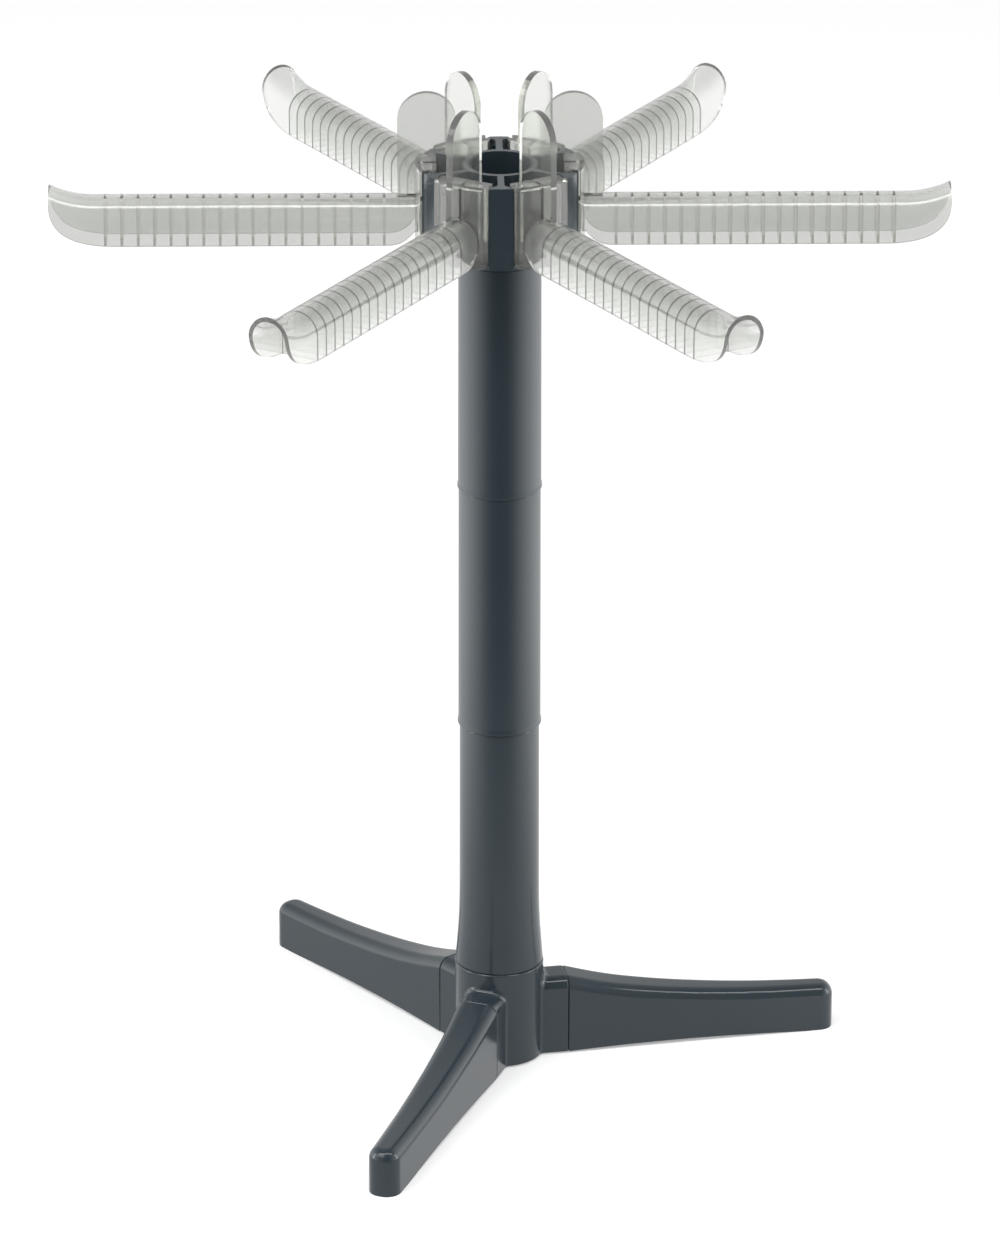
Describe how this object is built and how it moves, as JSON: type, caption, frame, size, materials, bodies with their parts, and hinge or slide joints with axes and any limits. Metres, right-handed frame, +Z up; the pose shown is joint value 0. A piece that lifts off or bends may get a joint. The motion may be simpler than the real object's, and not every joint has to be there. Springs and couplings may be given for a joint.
{
  "type": "pasta drying rack",
  "caption": "Free-standing drying rack: a plug-together column on splayed legs carries clear, level arms that lift out of a slotted head.",
  "frame": {"origin": "column axis where it meets the plane the feet stand on", "axes": "+Z up along the column, +X along the right arm, +Y to the rear"},
  "size_m": [0.4, 0.356, 0.469],
  "materials": {
    "dark_plastic": "glossy moulded slate-grey plastic",
    "clear_plastic": "clear glossy moulded plastic"
  },
  "bodies": {
    "base_hub": {"base_hub": "dark_plastic"},
    "leg_right": {"leg_right": "dark_plastic"},
    "leg_rear": {"leg_rear": "dark_plastic"},
    "leg_front": {"leg_front": "dark_plastic"},
    "column_lower": {"column_lower": "dark_plastic"},
    "column_middle": {"column_middle": "dark_plastic"},
    "column_upper": {"column_upper": "dark_plastic"},
    "head": {"head": "dark_plastic"},
    "arm_right": {"arm_right": "clear_plastic"},
    "arm_rear_right": {"arm_rear_right": "clear_plastic"},
    "arm_rear_left": {"arm_rear_left": "clear_plastic"},
    "arm_left": {"arm_left": "clear_plastic"},
    "arm_front_left": {"arm_front_left": "clear_plastic"},
    "arm_front_right": {"arm_front_right": "clear_plastic"}
  },
  "joints": [
    {"name": "leg_right_pull_off", "type": "slide", "parent": "base_hub", "child": "leg_right", "axis": [0.986, 0.1668, 0], "range_m": [0, 0.018]},
    {"name": "leg_rear_pull_off", "type": "slide", "parent": "base_hub", "child": "leg_rear", "axis": [-0.6374, 0.7705, 0], "range_m": [0, 0.018]},
    {"name": "leg_front_pull_off", "type": "slide", "parent": "base_hub", "child": "leg_front", "axis": [-0.3486, -0.9373, 0], "range_m": [0, 0.018]},
    {"name": "column_lower_lift_off", "type": "slide", "parent": "base_hub", "child": "column_lower", "axis": [0, 0, 1], "range_m": [0, 0.018]},
    {"name": "column_middle_lift_off", "type": "slide", "parent": "column_lower", "child": "column_middle", "axis": [0, 0, 1], "range_m": [0, 0.018]},
    {"name": "column_upper_lift_off", "type": "slide", "parent": "column_middle", "child": "column_upper", "axis": [0, 0, 1], "range_m": [0, 0.018]},
    {"name": "head_lift_off", "type": "slide", "parent": "column_upper", "child": "head", "axis": [0, 0, 1], "range_m": [0, 0.018]},
    {"name": "arm_right_lift_out", "type": "slide", "parent": "head", "child": "arm_right", "axis": [0, 0, 1], "range_m": [0, 0.044]},
    {"name": "arm_rear_right_lift_out", "type": "slide", "parent": "head", "child": "arm_rear_right", "axis": [0, 0, 1], "range_m": [0, 0.044]},
    {"name": "arm_rear_left_lift_out", "type": "slide", "parent": "head", "child": "arm_rear_left", "axis": [0, 0, 1], "range_m": [0, 0.044]},
    {"name": "arm_left_lift_out", "type": "slide", "parent": "head", "child": "arm_left", "axis": [0, 0, 1], "range_m": [0, 0.044]},
    {"name": "arm_front_left_lift_out", "type": "slide", "parent": "head", "child": "arm_front_left", "axis": [0, 0, 1], "range_m": [0, 0.044]},
    {"name": "arm_front_right_lift_out", "type": "slide", "parent": "head", "child": "arm_front_right", "axis": [0, 0, 1], "range_m": [0, 0.044]}
  ]
}
